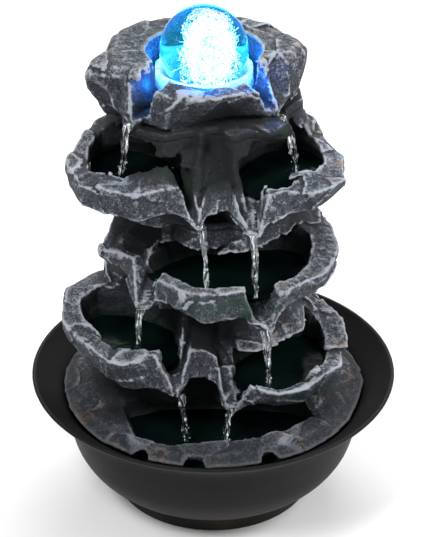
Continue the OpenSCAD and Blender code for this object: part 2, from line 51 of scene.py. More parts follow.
# ---------------------------------------------------------------- mesh helpers
def make_mesh(name, verts_mm, faces, smooth=True):
    """A mesh object from vertices in millimetres."""
    mesh = bpy.data.meshes.new(name)
    verts = np.asarray(verts_mm, float) * MM
    mesh.from_pydata(verts.tolist(), [], [list(map(int, f)) for f in faces])
    mesh.polygons.foreach_set("use_smooth", np.full(len(mesh.polygons), smooth))
    mesh.update()
    obj = bpy.data.objects.new(name, mesh)
    bpy.context.scene.collection.objects.link(obj)
    return obj


def vertices(mesh):
    """The mesh's vertices in metres, one row each."""
    co = np.zeros(len(mesh.vertices) * 3, np.float32)
    mesh.vertices.foreach_get("co", co)
    return co.reshape(-1, 3)


def add_sphere(verts, faces, at, r, rows, cols, stretch=1.0):
    """Adds a sphere to the lists, stretched upright."""
    first = len(verts)
    verts.append((at[0], at[1], at[2] + r * stretch))
    for j in range(1, rows):
        a = math.pi * j / rows
        for k in range(cols):
            b = 2 * math.pi * k / cols
            verts.append((at[0] + r * math.sin(a) * math.cos(b),
                          at[1] + r * math.sin(a) * math.sin(b), at[2] + r * stretch * math.cos(a)))
    verts.append((at[0], at[1], at[2] - r * stretch))
    last = len(verts) - 1
    for k in range(cols):
        m = (k + 1) % cols
        faces.append((first, first + 1 + k, first + 1 + m))
        for j in range(rows - 2):
            a = first + 1 + j * cols
            faces.append((a + k, a + cols + k, a + cols + m, a + m))
        a = first + 1 + (rows - 2) * cols
        faces.append((a + k, last, a + m))


def centre_mm(node):
    """The middle of a CAD node's box."""
    lo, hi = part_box(node)
    return np.array((lo + hi) / 2) / MM


# ---------------------------------------------------------------- noise on points
ROWS = 4096  # a power of two, so that a mask picks the row
TABLE = np.random.default_rng(7).random((ROWS, 3))


def cell_hash(i, seed):
    """A table row for each integer cell."""
    h = i[:, 0] * 73856093 ^ i[:, 1] * 19349663 ^ i[:, 2] * 83492791 ^ seed * 2654435
    h ^= h >> 13
    return (h * 1274126177 >> 7) & (ROWS - 1)


def corners(f):
    """Each corner of a cell with its share at the places f in the cell."""
    for corner in np.ndindex(2, 2, 2):
        yield corner, np.prod([f[:, k] if c else 1 - f[:, k] for k, c in enumerate(corner)], axis=0)


def value_noise(p, size, seed):
    """Smooth noise from -1 to 1 with features of about that size."""
    q = p / size
    base = np.floor(q).astype(np.int64)
    f = q - base
    f = f * f * (3 - 2 * f)
    total = np.zeros(len(p))
    for corner, w in corners(f):
        total += w * TABLE[cell_hash(base + corner, seed), seed % 3]
    return total * 2 - 1


def chipped(p, size, seed):
    """Flat facets: in each cell, a plane of its own tilt. Heights run from about -1 to 1."""
    q = p / size
    base = np.floor(q).astype(np.int64)
    best = np.full(len(p), 9.0)
    height = np.zeros(len(p))
    for step in np.ndindex(3, 3, 3):
        cell = base + np.array(step) - 1
        row = cell_hash(cell, seed)
        away = q - cell - TABLE[row]
        dist = np.einsum("ij,ij->i", away, away)
        tilt = TABLE[(row + 77) & (ROWS - 1)] * 2 - 1
        near = dist < best
        best[near] = dist[near]
        height[near] = np.einsum("ij,ij->i", away[near], tilt[near]) + 0.3 * tilt[near, 0]
    return height


# ---------------------------------------------------------------- rock as a distance grid
ROCK = {  # node: slab of the tower that it is, in mm
    "base_rock": (12.5, 70.0),
    "lower_tier": (70.0, 128.0),
    "middle_tier": (128.0, 182.0),
    "upper_tier": (182.0, 232.0),
    "crown_rock": (232.0, 270.0),
}
BALL = centre_mm("crystal_ball")
GRID_LO, GRID_HI = np.array([-96.0, -92.0, 8.0]), np.array([96.0, 92.0, 272.0])
BAND = 6.0  # how far from the surface the grid's distances reach
SKIN = 4.5  # how far from the surface the chipping works
OVERLAP = 4  # how far each casting reaches up into the next one
FACET, SMALL_FACET, CHIP, LAYER = 21.0, 7.5, 4.2, 7.5  # sizes in the rock's surface
RAISED, SUNK = -3.4, 2.6  # most that chipping adds to the grid's distances; less is more rock
WALL_TOP = 230.5  # the wall behind the upper pools ends under the crown
LEAN = 0.42  # how far that wall leans back for each millimetre up
NOTCHES = [(-118, 6.0), (-97, 7.0), (-68, 6.0), (92, 7.0)]  # angle and radius in the base's edge
NOTCH_HEIGHT, NOTCH_DEPTH = 61, 80.5  # height of the drain arches, and where they end inwards


def blur(a, sigma):
    """Gaussian blur of a grid, sigma in cells."""
    n = max(1, int(math.ceil(2.2 * sigma)))
    k = np.exp(-0.5 * (np.arange(-n, n + 1) / sigma) ** 2).astype(np.float32)
    k /= k.sum()
    for axis in range(3):
        pad = [(n, n) if x == axis else (0, 0) for x in range(3)]
        wide = np.pad(a, pad, mode="edge")
        size = a.shape[axis]
        a = sum(k[j] * np.take(wide, range(j, j + size), axis=axis) for j in range(2 * n + 1))
    return a


def node_triangles(node):
    """A CAD node's vertices in mm and its triangles."""
    mesh = NODES[node].data
    mesh.calc_loop_triangles()
    tri = np.zeros(len(mesh.loop_triangles) * 3, np.int32)
    mesh.loop_triangles.foreach_get("vertices", tri)
    return vertices(mesh) / MM, tri.reshape(-1, 3)


def distance_grid(points, triangles, shape):
    """Signed distance in mm, inside negative, limited to the band."""
    scaled = (points - GRID_LO) / VOXEL
    grid = openvdb.FloatGrid.createLevelSetFromPolygons(
        scaled.astype(np.float32), triangles=triangles.astype(np.uint32), halfWidth=BAND / VOXEL
    )
    out = np.zeros(shape, np.float32)
    grid.copyToArray(out)
    return out * VOXEL


def sample(grid, points, origin=GRID_LO, spacing=VOXEL):
    """Trilinear values of a grid at points in mm."""
    q = (points - origin) / spacing
    base = np.clip(np.floor(q).astype(int), 0, np.array(grid.shape) - 2)
    f = q - base
    total = np.zeros(len(points))
    for corner, w in corners(f):
        i = base + corner
        total += w * grid[i[:, 0], i[:, 1], i[:, 2]]
    return total


def smoothstep(lo, hi, x):
    """Eases from 0 at lo to 1 at hi."""
    t = np.clip((x - lo) / (hi - lo), 0, 1)
    return t * t * (3 - 2 * t)


def cut_away(total, box_lo, box_hi, field):
    """Takes the part where the field is negative out of the rock, inside a box in mm."""
    a = np.maximum(np.floor((np.array(box_lo) - GRID_LO) / VOXEL).astype(int), 0)
    b = np.minimum(np.ceil((np.array(box_hi) - GRID_LO) / VOXEL).astype(int), total.shape)
    x, y, z = (np.arange(a[k], b[k]) * VOXEL + GRID_LO[k] for k in range(3))
    inside = field(x[:, None, None], y[None, :, None], z[None, None, :])
    part = total[a[0]:b[0], a[1]:b[1], a[2]:b[2]]
    part[:] = np.maximum(part, -inside)


def from_outline(outline, x, y):
    """Signed distance in plan from a closed outline, inside negative."""
    best = np.full(np.broadcast(x, y).shape, 1e9)
    inside = np.zeros(best.shape, bool)
    for (ax, ay), (bx, by) in zip(outline, np.roll(outline, -1, axis=0)):
        dx, dy = bx - ax, by - ay
        t = np.clip(((x - ax) * dx + (y - ay) * dy) / (dx * dx + dy * dy), 0, 1)
        best = np.minimum(best, np.hypot(x - ax - t * dx, y - ay - t * dy))
        if ay != by:
            inside ^= ((ay > y) != (by > y)) & (x < dx * (y - ay) / dy + ax)
    return np.where(inside, -best, best)


def cut_wall(total, outline, level):
    """Slopes the rock back from a pool, up to the crown."""
    def field(x, y, z):
        return np.maximum(from_outline(outline, x, y) + LEAN * (z - level - 6), z - WALL_TOP)

    near, far = outline.min(axis=0) - 3, outline.max(axis=0) + 3
    cut_away(total, (*near, level - 2), (*far, WALL_TOP + 0.5), field)


def cut_notch(total, angle, r):
    """A drain arch in the edge of the base."""
    c, s = math.cos(math.radians(angle)), math.sin(math.radians(angle))

    def field(x, y, z):
        return np.maximum(np.hypot(y * c - x * s, z - NOTCH_HEIGHT) - r, NOTCH_DEPTH - (x * c + y * s))

    at = np.array([84 * c, 84 * s, 60])
    cut_away(total, at - 14, at + 14, field)


def cut_crown_end(total):
    """Lowers the right end of the crown's front rock."""
    def field(x, y, z):
        return np.maximum(np.maximum(257.0 - z, np.abs(x - 19) - 7.5), np.abs(y + 2.5) - 10)

    cut_away(total, (10, -14, 255), (28, 9, 271), field)


def rock_grid():
    """The whole tower as one distance grid, weathered and chipped."""
    shape = tuple(int(n) for n in np.ceil((GRID_HI - GRID_LO) / VOXEL))
    total = np.full(shape, BAND, np.float32)
    for node, (z0, z1) in ROCK.items():
        points, triangles = node_triangles(node)
        if node != "crown_rock":
            # The top plane reaches up into the casting above, so that no seam opens inside.
            points[points[:, 2] > z1 - 0.05, 2] += OVERLAP
        total = np.minimum(total, distance_grid(points, triangles, shape))
    for outline, level, _ in WATER[:2]:
        cut_wall(total, outline, level)
    for angle, r in NOTCHES:
        cut_notch(total, angle, r)
    cut_crown_end(total)
    soft = blur(total, 2.2 / VOXEL)
    near = np.argwhere(np.abs(total) < SKIN)
    p = near * VOXEL + GRID_LO
    corner = smoothstep(0.15, 0.9, (soft - total)[tuple(near.T)])
    warp = np.stack([value_noise(p, 17.0, s) for s in (11, 12, 13)], axis=1)
    big = chipped(p * [1, 1, 1.3] + warp * 4, FACET, 3)
    small = chipped(p * [1, 1, 1.6] + warp * 3, SMALL_FACET, 5)
    chips = chipped(p + warp * 2, CHIP, 6)
    grain = value_noise(p, 3.2, 8) * 0.10 + value_noise(p, 1.7, 9) * 0.08
    across = p @ np.array([0.32, 0.1, 0.94]) + warp[:, 0] * 4
    layers = np.abs((across / LAYER) % 1 - 0.5) * 2
    # The places round the cup and the shaft keep their shape, and the round base is calmer.
    from_ball = np.hypot(p[:, 0] - BALL[0], p[:, 1] - BALL[1])
    free = smoothstep(29, 40, from_ball) + (p[:, 2] < 236)
    shaft = (np.abs(p[:, 0] + 4) < 20) & (p[:, 1] > 8) & (p[:, 1] < 51)
    free = np.clip(free, 0, 1) * np.where(shaft & (p[:, 2] < 240), 0.1, 1.0)
    rough = free * (0.28 + 0.72 * smoothstep(64, 74, p[:, 2]))
    wear = corner * (0.25 + 0.35 * chips)
    move = rough * (1.5 * big + 0.25 * small + 0.12 * (layers - 0.5) + wear) + free * grain
    total[tuple(near.T)] += np.clip(move, RAISED, SUNK).astype(np.float32)
    return blur(total, 0.36 / VOXEL)


def cut_piece(name, grid, z0, z1):
    """The rock between two heights as a mesh."""
    k0 = max(0, int((z0 - GRID_LO[2]) / VOXEL) - 2)
    k1 = min(grid.shape[2], int((z1 - GRID_LO[2]) / VOXEL) + 4)
    z = GRID_LO[2] + np.arange(k0, k1) * VOXEL
    part = np.maximum(grid[:, :, k0:k1], np.maximum(z0 - z, z - z1)[None, None, :].astype(np.float32))
    vdb = openvdb.FloatGrid(9.0)
    vdb.copyFromArray(np.ascontiguousarray(part))
    points, quads = vdb.convertToQuads(0.0)
    points = points.astype(float) * VOXEL + GRID_LO + [0, 0, k0 * VOXEL]
    a, b, c = (points[quads[:, i]] for i in (0, 1, 2))
    # A negative volume means that the faces look inwards.
    if np.einsum("ij,ij->", a, np.cross(b - a, c - a)) < 0:
        quads = quads[:, ::-1]
    return make_mesh(name, points, quads)


COARSE = 4  # cells of the rock grid to one of the crowding grid


def crowding(grid):
    """Share of rock in the space around each cell of a coarser grid: high in recesses."""
    coarse = np.clip(0.5 - grid[::COARSE, ::COARSE, ::COARSE] / (COARSE * VOXEL), 0, 1)
    return blur(np.pad(coarse, 1, mode="edge"), 11.0 / (COARSE * VOXEL))


def paint(obj, grid, soft, broad, crowd):
    """Stores what the rock's paint follows: worn edges, wetness, and the painted shade of hollows and
    recesses.
    """
    mesh = obj.data
    p = vertices(mesh).astype(float) / MM
    no = np.zeros(len(mesh.vertices) * 3, np.float32)
    mesh.vertex_normals.foreach_get("vector", no)
    ahead = p + no.reshape(-1, 3) * 12.0
    here = sample(grid, p)
    edge = (sample(soft, p) - here) / 0.28
    # Painted shade darkens hollows in the face, found against the broadly blurred rock.
    hollow = -(sample(broad, p) - here) / 3.0
    cell = COARSE * VOXEL
    # Painted shade in recesses: how crowded with rock the space just in front of the face is.
    recess_shade = smoothstep(0.13, 0.28, sample(crowd, ahead, GRID_LO - cell, cell))
    # The wall under the crown lies in shade.
    wall = smoothstep(204, 211, p[:, 2]) * smoothstep(238, 234, p[:, 2])
    inner = smoothstep(50, 42, np.hypot(p[:, 0], p[:, 1] - 5))
    high = smoothstep(214, 220, p[:, 2]) * smoothstep(50, 44, np.abs(p[:, 0]))
    wall *= np.maximum(inner, high * (p[:, 1] > -52))
    recess_shade = np.maximum(recess_shade, wall)
    edge *= 1 - 0.9 * wall
    wet = np.zeros(len(p))
    for outline, level, depth in WATER:
        c = outline.mean(axis=0)
        reach = np.linalg.norm(outline - c, axis=1).mean()
        away = np.hypot(p[:, 0] - c[0], p[:, 1] - c[1])
        wet = np.maximum(wet, smoothstep(reach * 1.25, reach * 0.8, away)
                         * smoothstep(level + 6, level - 1, p[:, 2])
                         * smoothstep(level - depth - 8, level - depth, p[:, 2]))
    for name, values in (("edge", edge), ("hollow", hollow), ("recess_shade", recess_shade), ("wet", wet)):
        layer = mesh.attributes.new(name, "FLOAT", "POINT")
        layer.data.foreach_set("value", np.clip(values, -1, 1).astype(np.float32))


# ---------------------------------------------------------------- materials
class Nodes:
    """Short way to build a node material."""

    def __init__(self, name):
        self.mat = bpy.data.materials.new(name)
        self.mat.use_nodes = True
        self.tree = self.mat.node_tree
        self.bsdf = self.tree.nodes["Principled BSDF"]
        self.out = self.tree.nodes["Material Output"]

    def add(self, kind, **values):
        """A node with its settings or its inputs given by name."""
        node = self.tree.nodes.new(kind)
        for key, value in values.items():
            if hasattr(node, key):
                setattr(node, key, value)
            else:
                node.inputs[key.replace("_", " ")].default_value = value
        return node

    def link(self, a, b):
        self.tree.links.new(a, b)

    def put(self, socket, value):
        """Links an output to the socket, or sets the socket to a constant."""
        if isinstance(value, bpy.types.NodeSocket):
            self.link(value, socket)
        else:
            socket.default_value = value

    def coords(self):
        return self.add("ShaderNodeTexCoord").outputs["Object"]

    def noise(self, scale, detail=4.0, rough=0.6, where=None, warp=0.0):
        node = self.add("ShaderNodeTexNoise")
        node.inputs["Scale"].default_value = scale
        node.inputs["Detail"].default_value = detail
        node.inputs["Roughness"].default_value = rough
        node.inputs["Distortion"].default_value = warp
        self.link(where or self.coords(), node.inputs["Vector"])
        return node.outputs["Fac"]

    def cells(self, scale, feature="F1", where=None):
        node = self.add("ShaderNodeTexVoronoi", feature=feature)
        node.inputs["Scale"].default_value = scale
        self.link(where or self.coords(), node.inputs["Vector"])
        return node.outputs["Distance"]

    def height(self):
        """Height above the table, in metres."""
        split = self.add("ShaderNodeSeparateXYZ")
        self.link(self.coords(), split.inputs[0])
        return split.outputs["Z"]

    def stretched(self, scale):
        """Coordinates scaled along each axis."""
        mapping = self.add("ShaderNodeMapping")
        mapping.inputs["Scale"].default_value = scale
        self.link(self.coords(), mapping.inputs["Vector"])
        return mapping.outputs[0]

    def swirled(self, scale, reach):
        """Coordinates pushed about by noise."""
        noise = self.add("ShaderNodeTexNoise")
        noise.inputs["Scale"].default_value = scale
        where = self.coords()
        self.link(where, noise.inputs["Vector"])
        push = self.add("ShaderNodeVectorMath", operation="MULTIPLY_ADD")
        self.link(noise.outputs["Color"], push.inputs[0])
        push.inputs[1].default_value = (reach, reach, reach)
        self.link(where, push.inputs[2])
        return push.outputs[0]

    def maths(self, op, a, b):
        node = self.add("ShaderNodeMath", operation=op)
        self.put(node.inputs[0], a)
        self.put(node.inputs[1], b)
        return node.outputs[0]

    def ramp(self, value, lo, hi, to_lo=0.0, to_hi=1.0):
        node = self.add("ShaderNodeMapRange", interpolation_type="SMOOTHSTEP")
        self.put(node.inputs["Value"], value)
        node.inputs["From Min"].default_value = lo
        node.inputs["From Max"].default_value = hi
        node.inputs["To Min"].default_value = to_lo
        node.inputs["To Max"].default_value = to_hi
        return node.outputs["Result"]

    def mix(self, fac, a, b):
        node = self.add("ShaderNodeMix", data_type="RGBA")
        self.put(node.inputs[0], fac)
        for socket, value in ((node.inputs[6], a), (node.inputs[7], b)):
            self.put(socket, value if isinstance(value, bpy.types.NodeSocket) else (*value, 1))
        return node.outputs[2]

    def attribute(self, name):
        return self.add("ShaderNodeAttribute", attribute_name=name).outputs["Fac"]

    def set(self, **values):
        """Sets or links inputs of the main shader."""
        for key, value in values.items():
            socket = self.bsdf.inputs[key.replace("_", " ")]
            if isinstance(value, tuple) and len(value) == 3 and socket.type == "RGBA":
                value = (*value, 1)
            self.put(socket, value)

    def bump(self, height, strength, distance):
        node = self.add("ShaderNodeBump")
        node.inputs["Strength"].default_value = strength
        node.inputs["Distance"].default_value = distance
        self.link(height, node.inputs["Height"])
        self.link(node.outputs["Normal"], self.bsdf.inputs["Normal"])


# The coats for recesses, hollows and faces that look down are painted shade.
COATS = {  # linear colours of the rock's paint
    "under": (0.010, 0.012, 0.017), "stone": (0.038, 0.044, 0.059), "cloud": (0.024, 0.026, 0.030),
    "grain": (0.092, 0.104, 0.128), "brushed": (0.36, 0.39, 0.44), "below": (0.008, 0.010, 0.013),
    "round_base": (0.011, 0.013, 0.017), "tan": (0.20, 0.125, 0.07),
    "recess_shade_black": (0.0060, 0.0085, 0.0095), "hollow": (0.006, 0.008, 0.011),
    "lichen": (0.010, 0.026, 0.012), "moss": (0.006, 0.028, 0.017),
}


def rock_material():
    """Dark stone paint, dry-brushed light grey, with painted shade that blackens the recesses, and moss
    in the wet.
    """
    n = Nodes("cast_rock_paint")
    edge, hollow, wet = n.attribute("edge"), n.attribute("hollow"), n.attribute("wet")
    recess_shade = n.attribute("recess_shade")
    fine = n.noise(850, 7, 0.75)
    mid = n.noise(240, 6, 0.7, warp=0.6)
    wide = n.noise(38, 3, 0.5)
    crackle = n.cells(420, "DISTANCE_TO_EDGE")
    normal = n.add("ShaderNodeNewGeometry").outputs["Normal"]
    split = n.add("ShaderNodeSeparateXYZ")
    n.link(normal, split.inputs[0])
    up = n.ramp(split.outputs["Z"], 0.2, 0.85)
    under = n.ramp(split.outputs["Z"], -0.05, -0.6)
    base = n.mix(n.ramp(mid, 0.38, 0.64), COATS["under"], COATS["stone"])
    base = n.mix(n.ramp(wide, 0.45, 0.75, 0.0, 0.6), base, COATS["cloud"])
    base = n.mix(n.ramp(fine, 0.46, 0.66), base, COATS["grain"])
    # Dry-brushed light grey catches on edges and on the grain; on tops it is a painted highlight as
    # well, and painted shade takes it out of recesses.
    veins = n.ramp(n.cells(150, "DISTANCE_TO_EDGE", where=n.swirled(90, 0.009)), 0.04, 0.0)
    veins = n.maths("MULTIPLY", veins, n.ramp(n.noise(60, 3, 0.6), 0.5, 0.62))
    grainy = n.maths("ADD", n.maths("MULTIPLY", fine, 1.05), n.maths("MULTIPLY", mid, 0.30))
    brushed = n.maths("ADD", n.maths("MULTIPLY", edge, 0.50), grainy)
    brushed = n.maths("ADD", brushed, n.maths("MULTIPLY", veins, 0.14))
    brushed = n.maths("ADD", brushed, n.maths("MULTIPLY", up, 0.09))
    brushed = n.maths("SUBTRACT", brushed, n.maths("MULTIPLY", recess_shade, 0.45))
    base = n.mix(n.ramp(brushed, 0.70, 1.16), base, COATS["brushed"])
    # Painted shade darkens the faces that look down.
    base = n.mix(n.maths("MULTIPLY", under, 0.6), base, COATS["below"])
    # The round base is darker than the tiers.
    base = n.mix(n.ramp(n.height(), 0.0725, 0.068, 0.0, 0.8), base, COATS["round_base"])
    # A little tan on the rims.
    tan = n.maths("MULTIPLY", up, n.ramp(n.noise(70, 4, 0.7), 0.5, 0.66))
    tan = n.maths("MULTIPLY", tan, n.ramp(edge, -0.05, 0.3))
    base = n.mix(n.maths("MULTIPLY", tan, 0.55), base, COATS["tan"])
    # Painted shade makes recesses and hollows nearly black, and wet rock is black-green.
    base = n.mix(n.maths("MULTIPLY", recess_shade, 0.93), base, COATS["recess_shade_black"])
    base = n.mix(n.ramp(hollow, 0.1, 0.75, 0.0, 0.6), base, COATS["hollow"])
    lichen = n.maths("MULTIPLY", n.ramp(recess_shade, 0.3, 0.9), n.ramp(n.noise(45, 4, 0.7), 0.54, 0.68))
    base = n.mix(n.maths("MULTIPLY", lichen, 0.7), base, COATS["lichen"])
    moss = n.maths("MULTIPLY", wet, n.ramp(n.noise(90, 4, 0.6), 0.3, 0.6))
    base = n.mix(moss, base, COATS["moss"])
    n.set(Base_Color=base, Roughness=n.ramp(wet, 0.1, 0.8, 0.7, 0.25), Specular_IOR_Level=0.3)
    relief = n.maths("ADD", n.maths("MULTIPLY", fine, 0.5), n.maths("MULTIPLY", mid, 0.8))
    relief = n.maths("ADD", relief, n.maths("MULTIPLY", n.ramp(crackle, 0.0, 0.08), 0.2))
    n.bump(relief, 1.0, 0.0012)
    return n.mat


def plastic(name, colour, rough=0.45, grain=1500, depth=0.00008, alt=None):
    """Moulded plastic or rubber, a little uneven in colour."""
    n = Nodes(name)
    speck = n.noise(grain, 4, 0.7)
    cloud = n.noise(25, 3, 0.6)
    other = alt or tuple(c * 1.5 + 0.01 for c in colour)
    n.set(Base_Color=n.mix(n.ramp(cloud, 0.35, 0.75, 0, 0.6), colour, other),
          Roughness=n.ramp(speck, 0.3, 0.7, rough * 0.85, min(1.0, rough * 1.2)))
    n.bump(speck, 0.5, depth)
    return n.mat


def metal(name, colour, rough=0.3, stretch=(1, 1, 40)):
    """Brushed metal with its lines across the axis that is stretched."""
    n = Nodes(name)
    lines = n.noise(300, 4, 0.6, where=n.stretched(stretch))
    n.set(Base_Color=n.mix(n.ramp(lines, 0.3, 0.7), colour, tuple(c * 0.7 for c in colour)),
          Metallic=1.0, Roughness=n.ramp(lines, 0.2, 0.8, rough * 0.8, rough * 1.4))
    n.bump(lines, 0.3, 0.00005)
    return n.mat


def clear(name, colour, rough=0.03, ior=1.45, glow=None, glow_strength=0.0):
    """Clear plastic, lit from inside if it has a glow."""
    n = Nodes(name)
    speck = n.noise(500, 3, 0.6)
    n.set(Base_Color=n.mix(n.ramp(speck, 0.3, 0.8), colour, tuple(c * 0.94 for c in colour)),
          Transmission_Weight=1.0, IOR=ior, Roughness=n.ramp(speck, 0.3, 0.8, rough, rough * 2))
    if glow:
        n.set(Emission_Color=glow, Emission_Strength=glow_strength)
    n.bump(speck, 0.15, 0.0001)
    return n.mat


def bowl_material():
    """Matte black with a fine grain, and a painted brownish sheen low on the body, by the foot."""
    n = Nodes("bowl_matte_black")
    grain = n.noise(1400, 5, 0.75)
    pits = n.cells(900)
    cloud = n.noise(16, 3, 0.6)
    low = n.ramp(n.height(), 0.03, 0.0)
    base = n.mix(n.ramp(grain, 0.35, 0.75), (0.004, 0.004, 0.004), (0.012, 0.0118, 0.0115))
    # A painted brownish sheen, low on the body.
    base = n.mix(n.maths("MULTIPLY", low, n.ramp(cloud, 0.3, 0.7)), base, (0.030, 0.025, 0.019))
    n.set(Base_Color=base, Roughness=n.ramp(grain, 0.3, 0.7, 0.42, 0.58), Specular_IOR_Level=0.12)
    n.bump(n.maths("ADD", grain, n.maths("MULTIPLY", pits, 0.7)), 0.6, 0.00022)
    return n.mat


def water_surface_material():
    """Almost black water with slow ripples."""
    n = Nodes("pool_water")
    ripple = n.noise(60, 3, 0.5, warp=1.2)
    shade = n.noise(25, 2, 0.5)
    n.set(Base_Color=n.mix(n.ramp(shade, 0.35, 0.7), (0.0010, 0.0022, 0.0028), (0.0022, 0.0075, 0.0060)),
          Roughness=0.16, IOR=1.33, Specular_IOR_Level=0.02)
    n.bump(ripple, 0.25, 0.0012)
    return n.mat


def stream_material():
    """Clear falling water with white streaks that glow: white water, lit up as painted highlights."""
    n = Nodes("falling_water")
    n.set(Base_Color=n.mix(n.noise(120, 3, 0.6), (0.74, 0.79, 0.82), (0.95, 0.98, 1.0)),
          Transmission_Weight=1.0, IOR=1.33, Roughness=0.02)
    # The streaks glow white: painted highlights on the falling water.
    streaks = n.noise(700, 3, 0.6, where=n.stretched((1, 1, 0.25)))
    white = n.ramp(streaks, 0.54, 0.68, 0.0, 0.5)
    n.set(Emission_Color=(0.92, 0.97, 1.0), Emission_Strength=white)
    n.bump(n.noise(380, 3, 0.6), 0.5, 0.0008)
    return n.mat


# ---------------------------------------------------------------- water
# Each pool: outline of its mouth from above, water level and depth, in mm.
WATER = [
    ([(-67, -20), (-54, -27), (-45, -31), (-34, -30), (-25, -26), (-19, -27), (-18, -14),
      (-21, 0), (-28, 8), (-38, 15), (-50, 20), (-62, 14), (-68, 2)], 206.0, 6.0),
    ([(14, -25), (22, -35), (31, -34), (39, -33), (42, -29), (50, -24), (56, -17), (60, -5),
      (59, 8), (54, 16), (43, 22), (30, 16), (20, 4), (14, -10)], 206.0, 6.0),
    ([(-34, -30), (-25, -37), (-17, -45), (-9, -52), (4, -53), (16, -52), (26, -51), (34, -47),
      (44, -39), (52, -27), (54, -12), (52, -2), (40, 4), (10, 0), (-14, -6), (-28, -16),
      (-36, -22)], 152.5, 6.0),
    ([(-72, -20), (-64, -31), (-55, -44), (-45, -50), (-36, -51), (-28, -49), (-21, -43),
      (-18, -30), (-22, -12), (-36, 0), (-50, 6), (-66, 7), (-75, -2), (-74, -10)], 107.0, 9.0),
    ([(12, -44), (16, -52), (25, -59), (38, -59), (51, -49), (62, -32), (64, -12), (60, -1),
      (52, 4), (40, 2), (28, -8), (17, -20), (12, -32)], 95.0, 9.0),
    ([(-50, -34), (-47, -47), (-43, -62), (-32, -68), (-21, -69), (4, -67), (24, -63),
      (40, -57), (56, -42), (50, -30), (30, -26), (0, -24), (-30, -25)], 62.5, 5.0),
]
WATER = [(np.array(outline, float), level, depth) for outline, level, depth in WATER]

# Each stream: lip, landing point and how wide it leaves the lip, in mm.
STREAMS = [
    ("crown_left", (-44.5, -16, 240), (-50, -19, 206), 5.0),
    ("crown_right", (36, -5, 240.5), (46, -9, 206), 5.0),
    ("upper_left", (-7.5, -46.5, 194.5), (-3, -49, 152.5), 3.6),
    ("upper_right", (21.5, -50.5, 190), (23, -52, 152.5), 4.2),
    ("middle_left", (-39.5, -46, 142), (-42, -47.5, 107), 4.0),
    ("middle_right", (28, -60.5, 136.5), (31, -58, 95), 4.6),
    ("lower_left", (-19, -57.5, 93.5), (-15, -60, 62.5), 4.0),
    ("lower_right", (10, -56.5, 83), (7, -59, 62.5), 4.4),
]


POOL_GROW = 1.03  # the water runs this much past its outline, into the rock
POOL_THICK = 1.6


def pool(name, outline, level):
    """A thin body of water whose edge runs a little way into the rock."""
    c = outline.mean(axis=0)
    count, rings = 96, 26
    closed = np.vstack([outline, outline[:1]])
    seg = np.linalg.norm(np.diff(closed, axis=0), axis=1)
    at = np.concatenate([[0], np.cumsum(seg)])
    u = np.linspace(0, at[-1], count, endpoint=False)
    rim = np.stack([np.interp(u, at, closed[:, k]) for k in (0, 1)], axis=1)
    verts = np.array([(*(c + (q - c) * (j + 1) / rings * POOL_GROW), level)
                      for j in range(rings) for q in rim])
    for _, _, land, _ in STREAMS:
        if abs(land[2] - level) < 3:
            d = np.hypot(verts[:, 0] - land[0], verts[:, 1] - land[1])
            verts[:, 2] += 0.55 * np.cos(d * 1.5) * np.exp(-d / 7.0)
    n_top = len(verts)
    bottom = level - POOL_THICK
    under = [(*(c + (q - c) * POOL_GROW * 0.97), bottom) for q in rim]
    verts = np.vstack([verts, [[c[0], c[1], level]], under, [[c[0], c[1], bottom]]])
    mid, low, low_mid = n_top, n_top + 1, n_top + 1 + count
    faces = []
    for i in range(count):
        k = (i + 1) % count
        faces.append((mid, i, k))
        for j in range(rings - 1):
            a = j * count
            faces.append((a + i, a + count + i, a + count + k, a + k))
        last = (rings - 1) * count
        faces.append((last + i, low + i, low + k, last + k))
        faces.append((low_mid, low + k, low + i))
    return make_mesh(name, verts, faces)


def strand(name, start, end, width, seed):
    """Two thin ropes of water that twist together as they fall, with drops at their foot."""
    local = np.random.default_rng(seed)
    start, end = np.array(start, float), np.array(end, float)
    verts, faces = [], []
    steps, sides = 44, 10

    def falling(t):
        return start + (end - start) * [math.sqrt(t), math.sqrt(t), t]

    def tube(path, radii, squash):
        first = len(verts)
        for i, q in enumerate(path):
            for k in range(sides):
                a = 2 * math.pi * k / sides
                verts.append((q[0] + radii[i] * squash * math.cos(a), q[1] + radii[i] * math.sin(a),
                              q[2]))
        for i in range(len(path) - 1):
            for k in range(sides):
                a, b = first + i * sides + k, first + i * sides + (k + 1) % sides
                faces.append((a, a + sides, b + sides, b))
        for ring_at, flip in ((first, False), (first + (len(path) - 1) * sides, True)):
            cap = [ring_at + k for k in range(sides)]
            faces.append(tuple(reversed(cap)) if flip else tuple(cap))

    for side in (-1, 1):
        path, radii = [], []
        phase = local.random() * 6
        for i in range(steps):
            t = i / (steps - 1)
            gap = width * 0.36 * (1 - 0.72 * t) * (1 + 0.3 * math.sin(7 * t + phase))
            sway = [side * gap + 0.35 * math.sin(11 * t + phase), 0.3 * math.cos(9 * t + phase), 0]
            path.append(falling(t) + sway)
            swell = 0.58 + 0.22 * math.sin(16 * t + phase) + 0.1 * math.sin(37 * t + 2 * phase)
            radii.append(max(0.22, swell * (1.15 - 0.45 * t)))
        tube(path, radii, 1.1)
    # Thin film between the two ropes, near the lip.
    path = [falling(t) for t in np.linspace(0, 0.55, 20)]
    tube(path, [0.2] * len(path), width * 1.15)
    for _ in range(14):
        q = falling(0.6 + 0.4 * local.random())
        q = q + (local.random(3) - 0.5) * [4.5, 3, 2]
        add_sphere(verts, faces, q, 0.25 + 0.35 * local.random(), 5, 8, 1.2)
    return make_mesh(name, verts, faces)


# ---------------------------------------------------------------- ball and lamp
def ball_mesh(name, radius, rows=64, cols=96):
    """A sphere in the crystal ball's place."""
    verts, faces = [], []
    add_sphere(verts, faces, BALL, radius, rows, cols)
    return make_mesh(name, verts, faces)


